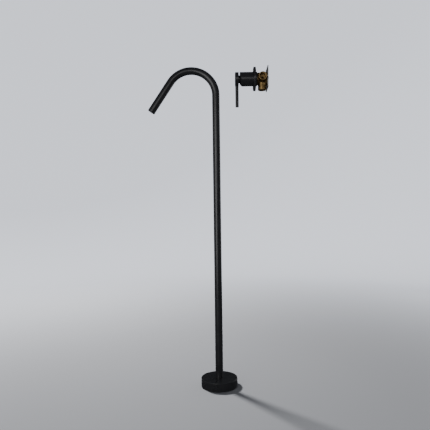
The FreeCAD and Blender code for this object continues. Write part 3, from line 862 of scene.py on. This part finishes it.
def floor_flange():
    """Plate under the cover with its inlet, gasket seat, column socket and four holes."""
    piece = lathe("floor_flange_turned", floor_frame, "raw_brass", [
        (inlet_radius + thread_depth, 0, softened),
        (gasket_inner, 0, broken),
        (gasket_inner, gasket_depth, sharp),
        (gasket_outer, gasket_depth, sharp),
        (gasket_outer, 0, broken),
        (flange_radius, 0, eased),
        (flange_radius, flange_thickness, flange_rim),
        (flange_boss, flange_thickness, flange_root),
        (flange_boss, flange_top, soft),
        (tube_radius + brazed_gap, flange_top, broken),
        (tube_radius + brazed_gap, seat_floor, sharp),
        (water_radius, seat_floor, broken),
        (water_radius, inlet_depth, broken),
        (inlet_radius + thread_depth, inlet_depth, sharp),
    ], segments=160)
    places = on_circle(floor_bolt_circle, 0, floor_bolt_count, start=pi / 4)
    return drill(piece, "raw_brass", places, floor_bolt_radius, drill_factor * flange_thickness)


def lower_column():
    """Foot of the column, below the seam."""
    return lathe("lower_column_skin", floor_frame, "black_coat", [
        (bore_radius, seat_floor, eased),
        (tube_radius, seat_floor, eased),
        (tube_radius, seam_height, seam_edge),
        (bore_radius, seam_height, eased),
    ], segments=160)


def seam_washer():
    """Thin ring that shows as the dark line of the seam."""
    return lathe("seam_washer_skin", floor_frame, "black_rubber", [
        (bore_radius, seam_height, sharp),
        (tube_radius - seam_inset, seam_height, washer_edge),
        (tube_radius - seam_inset, spout_foot, washer_edge),
        (bore_radius, spout_foot, sharp),
    ], segments=160)


def spout_column():
    """Straight tube turned first, then bent as the real one is, and drilled for its grub screw."""
    arc = bend_radius * bend_angle
    end = bend_height + arc + outlet_length
    bends = [bend_height + arc * step / bend_steps for step in range(-1, bend_steps + 2)]
    piece = lathe("spout_column_skin", floor_frame, "black_coat", [
        (bore_radius, spout_foot, eased),
        (tube_radius, spout_foot, seam_edge),
        *[(tube_radius, height, sharp) for height in bends],
        (tube_radius, end, soft),
        (bore_radius, end, mouth_edge),
        *[(bore_radius, height, sharp) for height in reversed(bends)],
    ], segments=128)
    run_tree(
        piece, bent_tube, "black_coat",
        Bend_Start=bend_height * metre, Bend_Radius=bend_radius * metre, Bend_Angle=bend_angle,
    )
    hole = sunk_bar(grub_hole, tube_radius / 2, column_grub_end, grub_sink)
    cutter = lathe("grub_hole", column_grub_frame, "black_coat", hole, segments=48)
    return combine_shapes(piece, cutter, "DIFFERENCE")


def column_grub_screw():
    """Headless screw with a hexagon socket."""
    outline = bar(grub_radius, column_grub_tip, column_grub_end, soft, softened)
    piece = lathe("column_grub_screw_turned", column_grub_frame, "stainless_steel", outline, segments=48)
    low, high = column_grub_end - grub_socket_depth, column_grub_end + overlap
    socket = prism_shape(sides=6, across_flats=grub_key, low=low, high=high)
    cutter = piece_from("socket", socket, column_grub_frame, "stainless_steel")
    return combine_shapes(piece, cutter, "DIFFERENCE")


# Outlet

def outlet_bush():
    """Ring in the outlet that takes the aerator."""
    return lathe("outlet_bush_turned", outlet_frame, "black_coat", [
        (bush_inner, outlet_recess, eased),
        (bush_outer, outlet_recess, sharp),
        (bush_outer, bush_top, sharp),
        (bush_lip, bush_top, eased),
        (bush_lip, bush_lip_floor, broken),
        (bush_inner, bush_lip_floor, sharp),
    ], segments=128)


def aerator_housing():
    """Insert of the outlet with key notches round its rim."""
    piece = lathe("aerator_housing_moulded", floor_frame, "dark_plastic", [
        (aerator_lip, outlet_recess, mouth_edge),
        (aerator_radius, outlet_recess, bevel_edge),
        (aerator_radius, aerator_top, broken),
        (aerator_inner, aerator_top, faint),
        (aerator_inner, grid_floor, sharp),
        (aerator_lip, grid_floor, faint),
    ], segments=128)
    start = 2 * pi * notch_offset / notch_count
    places = on_circle(aerator_radius, outlet_recess, notch_count, start)
    drill(piece, "dark_plastic", places, notch_radius, notch_depth, notch_sides)
    return put(piece, outlet_frame)


def aerator_grid():
    """Honeycomb that the water leaves through."""
    top = grid_floor + grid_thickness
    piece = lathe("aerator_grid_moulded", floor_frame, "dark_plastic", [
        (0, grid_floor, sharp),
        (grid_radius, grid_floor, broken),
        (grid_radius, grid_top, faint),
        (grid_inner, grid_top, faint),
        (grid_inner, top, sharp),
        (0, top, sharp),
    ], segments=96)
    pitch = (grid_inner * sqrt(3) + cell_web) / (cell_rings * sqrt(3) + 1)
    span = range(-cell_rings, cell_rings + 1)
    places = [
        (pitch * sqrt(3) / 2 * row, pitch * (column + row / 2), grid_floor)
        for row in span for column in span if abs(row + column) <= cell_rings
    ]
    corner = (pitch - cell_web) / sqrt(3)
    drill(piece, "dark_plastic", places, corner, drill_factor * grid_thickness, sides=6)
    return put(piece, outlet_frame)


# Wall unit

def wall_plate():
    """Round plate with a recess for its seal and a groove for the ring round the sleeve."""
    return lathe("wall_plate_skin", control_frame, "black_coat", [
        (plate_hole, 0, eased),
        (plate_hub, 0, eased),
        (plate_hub, plate_recess, eased),
        (plate_rim, plate_recess, soft),
        (plate_rim, 0, eased),
        (plate_radius, 0, eased),
        (plate_radius, plate_thickness, black_rim),
        (plate_hole, plate_thickness, eased),
        (plate_hole, plate_groove_top, sharp),
        (plate_groove, plate_groove_top, sharp),
        (plate_groove, plate_groove_floor, sharp),
        (plate_hole, plate_groove_floor, sharp),
    ], segments=224)


def plate_seal():
    """Flat ring behind the plate."""
    return lathe("plate_seal_moulded", control_frame, "black_rubber", [
        (plate_seal_inner, 0, softened),
        (plate_seal_outer, 0, softened),
        (plate_seal_outer, plate_recess, broken),
        (plate_seal_inner, plate_recess, broken),
    ], segments=160)


def sleeve():
    """Tube over the cartridge. Its bevelled front edge widens downwards, so its outline varies round it."""
    def outline(angle):
        across = land_rise * sin(angle)
        land = land_rise * cos(angle) + sqrt(land_radius ** 2 - across ** 2)
        return [
            (sleeve_inner, sleeve_tail, eased),
            (sleeve_radius, sleeve_tail, eased),
            (sleeve_radius, sleeve_front - (sleeve_radius - land), eased),
            (land, sleeve_front, bevel_edge),
            (sleeve_opening, sleeve_front, broken),
            (sleeve_opening, sleeve_nose - sleeve_opening, broken),
            (sleeve_inner, sleeve_nose - sleeve_inner, sharp),
        ]

    return lathe("sleeve_skin", control_frame, "black_coat", outline, segments=224)


def dome_cap():
    """Part of a ball about the pivot, under the lever's neck."""
    start = asin(neck_radius / dome_radius)
    inner_start = asin(dome_bore / dome_inner)
    steps = [step / dome_steps for step in range(dome_steps + 1)]

    def on_ball(radius, angle):
        return radius * sin(angle), pivot + radius * cos(angle), sharp

    return lathe("dome_cap_skin", control_frame, "black_coat", [
        *[on_ball(dome_radius, start + (dome_reach - start) * step) for step in steps],
        *[on_ball(dome_inner, dome_reach + (inner_start - dome_reach) * step) for step in steps],
        (dome_bore, dome_collar_top, broken),
        (dome_collar, dome_collar_top, broken),
        (dome_collar, neck_back, sharp),
    ], segments=144)


def handle_hub():
    """Round hub with its neck and the hole of its plug."""
    piece = lathe("handle_hub_skin", control_frame, "black_coat", [
        (0, hub_back, sharp),
        (neck_bore, hub_back, sharp),
        (neck_bore, neck_back, broken),
        (neck_radius, neck_back, broken),
        (neck_radius, hub_back, soft),
        (hub_radius, hub_back, black_rim),
        (hub_radius, hub_front, black_rim),
        (0, hub_front, sharp),
    ], segments=224)
    hole = sunk_bar(grub_hole, hub_radius / 2, hub_radius - plug_sink_depth, plug_sink)
    cutter = lathe("plug_hole", plug_frame, "black_coat", hole, segments=48)
    return combine_shapes(piece, cutter, "DIFFERENCE")


def hub_plug():
    """Small plug over the hub's grub screw."""
    outline = bar(grub_radius, plug_face - plug_thickness, plug_face, broken, eased)
    return lathe("hub_plug_moulded", plug_frame, "black_rubber", outline, segments=48)


def lever_rod():
    """Rod whose top is shaped to the round hub."""
    def outline(angle):
        across = rod_radius * sin(angle)
        return [
            (0, rod_joint, sharp),
            (rod_radius, sqrt(rod_joint ** 2 - across ** 2), sharp),
            (rod_radius, rod_reach, black_rim),
            (0, rod_reach, sharp),
        ]

    return lathe("lever_rod_skin", rod_frame, "black_coat", outline, segments=96)


def lever_stem():
    """Square bar with softened edges on a ball that pushes the disc holder, bored for the pivot pin."""
    neck = pi - asin(stem_shank / stem_ball)
    turns = [neck * step / ball_steps for step in range(ball_steps + 1)]
    ball = [
        (stem_ball * sin(turn), stem_ball_place - stem_ball * cos(turn), sharp) for turn in turns
    ]
    piece = lathe("lever_stem_milled", control_frame, "stainless_steel", [
        *ball,
        (stem_shank, stem_shoulder + overlap, sharp),
        (0, stem_shoulder + overlap, sharp),
    ], segments=48)
    square = prism_shape(sides=4, across_flats=stem_width, low=stem_shoulder, high=stem_end)
    soften(square, square.edges[:], softened)
    combine_shapes(piece, piece_from("square", square, square_frame, "stainless_steel"), "UNION")
    hole = bar(pivot_bore, -stem_width, stem_width)
    cutter = lathe("pin_hole", pin_frame, "stainless_steel", hole, segments=48)
    return combine_shapes(piece, cutter, "DIFFERENCE")


def valve_body():
    """Cast body in the wall: a round barrel with three threaded ports that flow into it."""
    grooves = []
    for low in ring_groove_floors:
        high = low + ring_groove_width
        grooves += [(collar_radius, low, sharp), (ring_groove, low, sharp)]
        grooves += [(ring_groove, high, sharp), (collar_radius, high, sharp)]
    piece = lathe("valve_body_cast", control_frame, "raw_brass", [
        (0, barrel_back, sharp),
        (barrel_radius, barrel_back, barrel_rim),
        (barrel_radius, barrel_front, barrel_step),
        (collar_radius, barrel_front, sharp),
        *grooves,
        (collar_radius, collar_front, softened),
        (nut_seat, collar_front, softened),
        (nut_seat, nut_shoulder, sharp),
        (cartridge_seat, nut_shoulder, broken),
        (cartridge_seat, cartridge_floor, sharp),
        (0, cartridge_floor, sharp),
    ], segments=160)
    boss = [
        (0, boss_start, sharp),
        (port_boss + boss_start_flare, boss_start, sharp),
        (port_boss + boss_bend_flare, boss_bend, boss_foot),
        (port_boss, boss_straight, boss_root),
        (port_boss, port_reach, boss_rim),
        (0, port_reach, sharp),
    ]
    bore = sunk_bar(port_radius + thread_depth, port_floor, port_reach - port_sink_depth, port_sink)
    for outline, operation in ((boss, "UNION"), (bore, "DIFFERENCE")):
        for placing in port_frames.values():
            combine_shapes(piece, lathe("port", placing, "raw_brass", outline, segments=96), operation)
    for port, way in port_ways.items():
        drop, radius = (0, outlet_drill) if port == "mixed" else (inlet_drill_drop, inlet_drill)
        placing = control_frame @ facing((-drop, 0, ports_place), way)
        outline = bar(radius, drill_start, port_floor + overlap)
        combine_shapes(piece, lathe("water_way", placing, "raw_brass", outline, segments=40), "DIFFERENCE")
    return piece


def wall_bracket():
    """Sheet with rounded corners, softened edges and its holes."""
    half = bracket_width / 2 - bracket_corner
    ring = []
    for x, y, start in ((half, half, 0), (-half, half, 90), (-half, -half, 180), (half, -half, 270)):
        for step in range(corner_steps + 1):
            angle = radians(start + 90 * step / corner_steps)
            along, across = bracket_corner * cos(angle), bracket_corner * sin(angle)
            ring.append((x + along, y + across, bracket_back))
    shape = raised_shape(ring, barrel_back - bracket_back)
    rims = [edge for edge in shape.edges if abs(edge.verts[0].co.z - edge.verts[1].co.z) < bracket_edge]
    soften(shape, rims, bracket_edge)
    piece = piece_from("wall_bracket_sheet", shape, floor_frame, "stainless_steel")
    side = bracket_hole_place
    places = [(x, y, bracket_back) for x in (-side, side) for y in (-side, side)]
    places += [(0, screw_spread, bracket_back), (0, -screw_spread, bracket_back)]
    return put(drill(piece, "stainless_steel", places, bracket_hole, bracket_drill), control_frame)


def bracket_screws():
    """Pan head screws with a hexagon socket, one at each place."""
    screw = lathe("screw", floor_frame, "stainless_steel", [
        (0, screw_tail, sharp),
        (screw_head - screw_dome_inset, screw_tail, soft),
        (screw_head, screw_tail + screw_dome_height, screw_dome_edge),
        (screw_head, bracket_back, broken),
        (screw_shank, bracket_back, faint),
        (screw_shank, screw_tip, screw_tip_edge),
        (0, screw_tip, sharp),
    ], segments=64)
    low, high = screw_tail - overlap, screw_tail + screw_socket_depth
    socket = prism_shape(sides=6, across_flats=screw_key, low=low, high=high)
    combine_shapes(screw, piece_from("socket", socket, floor_frame, "stainless_steel"), "DIFFERENCE")
    piece = points_piece([(0, screw_spread, 0), (0, -screw_spread, 0)], "bracket_screws_turned")
    run_tree(piece, copies, "stainless_steel", Shape=screw)
    remove_helper(screw)
    return put(piece, control_frame)


def port_thread(name, placing, start, depth):
    """Thread ridge in a port of some depth, from a start along local Z."""
    piece = points_piece([], name)
    run_tree(
        piece, thread, "raw_brass",
        Radius=(port_radius + thread_depth) * metre, Pitch=thread_pitch * metre,
        Turns=int((depth - thread_margin) / thread_pitch), Ridge=thread_depth * metre,
    )
    return put(piece, placing @ Matrix.Translation((0, 0, start)))


root_pieces = [
    base_cover, floor_flange, lower_column, seam_washer, spout_column, column_grub_screw,
    outlet_bush, aerator_housing, aerator_grid,
    wall_plate, plate_seal, sleeve, valve_body, wall_bracket, bracket_screws,
]
lever_pieces = [dome_cap, handle_hub, lever_rod, hub_plug, lever_stem]
for body, pieces in (("root", root_pieces), ("lever", lever_pieces)):
    for make in pieces:
        node = make.__name__
        keep(make(), body, slots[node], node)
threads = [
    port_thread(port + "_port_thread", placing, port_floor + port_thread_lead, port_depth)
    for port, placing in port_frames.items()
]
threads.append(port_thread("floor_inlet_thread", floor_frame, floor_thread_lead, inlet_depth))
for piece in threads:
    keep(piece, "root", "raw_brass")


# Studio, in metres

floor_rings = (0, 0.6, 1.2, 2.0, 2.6)
floor_curve = 1.0
floor_curve_steps = 15
floor_sides = 96
studio_wall_rings = (1.6, 2.4, 3.4, 4.4)
glow_span = (0.5, 3.5)
glow_colour = (0.92, 0.96, 1.06)
paper_colour = (0.084, 0.0853, 0.0893, 1)
world_colour = (0.86, 0.91, 1.0, 1)
world_strength = 0.06
sensor_width = 36


def studio_floor():
    """Floor that rises in a soft curve all round, and glows more and more away from the middle."""
    flat = floor_rings[-1]
    turns = [radians(90 * step / floor_curve_steps) for step in range(1, floor_curve_steps + 1)]
    outline = [(radius, 0, sharp) for radius in floor_rings]
    for turn in turns:
        along, up = floor_curve * sin(turn), floor_curve - floor_curve * cos(turn)
        outline.append((flat + along, up, sharp))
    outline += [(flat + floor_curve, height, sharp) for height in studio_wall_rings]
    shape = turned_shape(outline, floor_sides)
    bmesh.ops.reverse_faces(shape, faces=shape.faces)
    material, tree, shader = new_material("studio_paper")
    place = add_node(tree, "ShaderNodeTexCoord").outputs["Object"]
    away = add_node(tree, "ShaderNodeVectorMath", {0: place}, operation="LENGTH").outputs["Value"]
    rise = spread(tree, away, glow_span, kind="SMOOTHSTEP")
    tree.links.new(colour_between(tree, rise, (0, 0, 0), glow_colour), shader.inputs["Emission Color"])
    shader.inputs["Base Color"].default_value = paper_colour
    shader.inputs["Emission Strength"].default_value = 1
    shader.inputs["Roughness"].default_value = 0.85
    shader.inputs["Specular IOR Level"].default_value = 0.2
    mesh = mesh_from("studio_floor", shape)
    mesh.materials.append(material)
    floor = add_object("studio_floor", mesh)
    floor.visible_glossy = False
    return floor


def light_group(name, pieces):
    """Collection of the pieces that some lights are kept for."""
    group = bpy.data.collections.new(name)
    for piece in pieces:
        group.objects.link(piece)
    return group


def bare_metal():
    """The pieces without a coat."""
    metals = {finishes["raw_brass"], finishes["stainless_steel"]}
    pieces = [piece for piece in bpy.data.objects if piece.type == "MESH"]
    return [piece for piece in pieces if metals.intersection(piece.data.materials)]


def softbox(name, place, target, size, power, gloss=True, only=None):
    """Soft light. Without gloss it lights a surface but isn't mirrored in it."""
    light = bpy.data.lights.new(name, "AREA")
    light.shape = "RECTANGLE"
    light.size, light.size_y = size
    light.energy = power
    lamp = add_object(name, light)
    lamp.visible_glossy = gloss
    lamp.visible_camera = False
    lamp.location = place
    lamp.rotation_euler = (Vector(target) - Vector(place)).to_track_quat("-Z", "Y").to_euler()
    if only:
        lamp.light_linking.receiver_collection = only


def camera(place, pitch, yaw, roll, lens):
    """Camera that looks along +Y, tipped and turned by small angles in degrees."""
    pitch, yaw, roll = radians(pitch), radians(yaw), radians(roll)
    look = Vector((sin(yaw) * cos(pitch), cos(yaw) * cos(pitch), -sin(pitch)))
    level = Vector((cos(yaw), -sin(yaw), 0))
    upright = level.cross(look)
    across = cos(roll) * level + sin(roll) * upright
    upright = cos(roll) * upright - sin(roll) * level
    data = bpy.data.cameras.new("camera")
    data.sensor_width = sensor_width
    data.lens = lens
    view = add_object("camera", data)
    turn = Matrix((across, upright, -look)).transposed().to_4x4()
    view.matrix_world = Matrix.Translation(place) @ turn
    bpy.context.scene.camera = view


# Places that the lights are aimed at
foot = (0, 0, 0)
middle = (0, 0, 0.75)
crown = (0, 0, 1.05)
valve = (0.15, 0, 1.03)

floor_group = light_group("floor_only", [studio_floor()])
metal_group = light_group("bare_metal", bare_metal())
softbox("left_light", place=(-1.13, -1.89, 0.8), target=middle, size=(1.5, 1.4), power=27)
softbox("front_light", place=(0, -2.0, 1.13), target=crown, size=(0.9, 0.6), power=3.6)
softbox("right_light", place=(1.75, 1.3, 0.9), target=middle, size=(1.2, 1.6), power=10)
softbox("side_light", place=(-2.2, 0.9, 0.9), target=middle, size=(1.2, 1.6), power=4)
softbox(
    "back_light", place=(-1.2, 1.4, 2.1), target=foot, size=(0.35, 0.35), power=450,
    gloss=False, only=floor_group,
)
softbox(
    "metal_rear_light", place=(0.9, 1.9, 1.5), target=valve, size=(1.6, 1.4), power=6,
    only=metal_group,
)
softbox(
    "metal_side_light", place=(2.2, -0.5, 1.1), target=valve, size=(1.4, 1.6), power=4.5,
    only=metal_group,
)
world = bpy.data.worlds.new("studio_world")
world.use_nodes = True
background = world.node_tree.nodes["Background"]
background.inputs["Color"].default_value = world_colour
background.inputs["Strength"].default_value = world_strength
bpy.context.scene.world = world
camera(place=(0.018, -1.4853, 0.5709), pitch=-0.131, yaw=-0.999, roll=-0.731, lens=36.915)
